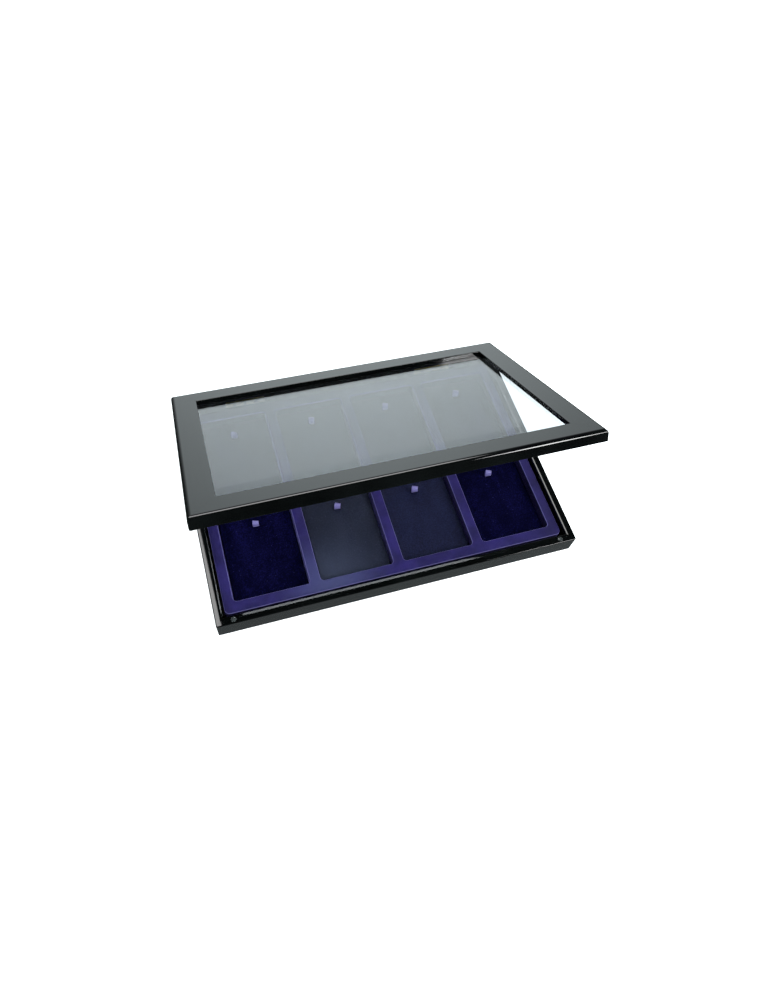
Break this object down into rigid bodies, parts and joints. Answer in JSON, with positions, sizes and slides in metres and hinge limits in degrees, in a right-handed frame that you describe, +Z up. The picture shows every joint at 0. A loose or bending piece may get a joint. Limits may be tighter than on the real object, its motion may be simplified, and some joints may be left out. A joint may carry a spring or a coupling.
{
  "type": "pocket watch display box",
  "caption": "Low black lacquered display case with a hinged glass lid over a flocked tray of places for pocket watches, each with a ribbon loop.",
  "frame": {"origin": "middle of the flat face that the case rests on, under the felt", "axes": "+X along the width, to the right as seen from the front; +Y from the front to the hinges at the back; +Z up. The lid stands part open in the rest pose."},
  "size_m": [0.35, 0.2448, 0.1547],
  "materials": {
    "base_lacquer": "black lacquer over hardwood, high gloss",
    "lid_lacquer": "black lacquer over hardwood, high gloss",
    "bead_lacquer": "black lacquer, satin",
    "panel_board": "thin fibreboard, black stained",
    "under_felt": "black felt",
    "bumper_clear": "clear soft bumper, glossy",
    "tray_card": "dark greyboard",
    "tray_flock": "violet blue flock, short pile",
    "pad_velour": "midnight blue velour",
    "ribbon_satin": "violet satin ribbon",
    "hinge_brass": "rolled brass, satin",
    "pin_brass": "drawn brass, polished",
    "screw_brass": "turned brass, polished",
    "window_glass": "clear float glass, polished"
  },
  "bodies": {
    "base": {"base_back_rail": "base_lacquer", "base_front_rail": "base_lacquer", "base_left_rail": "base_lacquer", "base_right_rail": "base_lacquer", "bottom_felt": "under_felt", "bottom_panel": "panel_board", "hinge_left_base_leaf": "hinge_brass", "hinge_left_base_screws": "screw_brass", "hinge_left_pin": "pin_brass", "hinge_right_base_leaf": "hinge_brass", "hinge_right_base_screws": "screw_brass", "hinge_right_pin": "pin_brass", "lid_bumpers": "bumper_clear", "pad_row1_column1": "pad_velour", "pad_row1_column2": "pad_velour", "pad_row1_column3": "pad_velour", "pad_row1_column4": "pad_velour", "pad_row2_column1": "pad_velour", "pad_row2_column2": "pad_velour", "pad_row2_column3": "pad_velour", "pad_row2_column4": "pad_velour", "ribbon_row1_column1": "ribbon_satin", "ribbon_row1_column2": "ribbon_satin", "ribbon_row1_column3": "ribbon_satin", "ribbon_row1_column4": "ribbon_satin", "ribbon_row2_column1": "ribbon_satin", "ribbon_row2_column2": "ribbon_satin", "ribbon_row2_column3": "ribbon_satin", "ribbon_row2_column4": "ribbon_satin", "tray_board": "tray_card", "tray_grid": "tray_flock"},
    "lid": {"glazing_bead_back": "bead_lacquer", "glazing_bead_front": "bead_lacquer", "glazing_bead_left": "bead_lacquer", "glazing_bead_right": "bead_lacquer", "hinge_left_lid_leaf": "hinge_brass", "hinge_left_lid_screws": "screw_brass", "hinge_right_lid_leaf": "hinge_brass", "hinge_right_lid_screws": "screw_brass", "lid_back_rail": "lid_lacquer", "lid_front_rail": "lid_lacquer", "lid_glass": "window_glass", "lid_left_rail": "lid_lacquer", "lid_right_rail": "lid_lacquer"}
  },
  "joints": [
    {"name": "lid_hinge", "type": "hinge", "parent": "base", "child": "lid", "pos_m": [0, 0.12215, 0.0238], "axis": [-1, 0, 0], "range_deg": [-30.3, 70]}
  ]
}
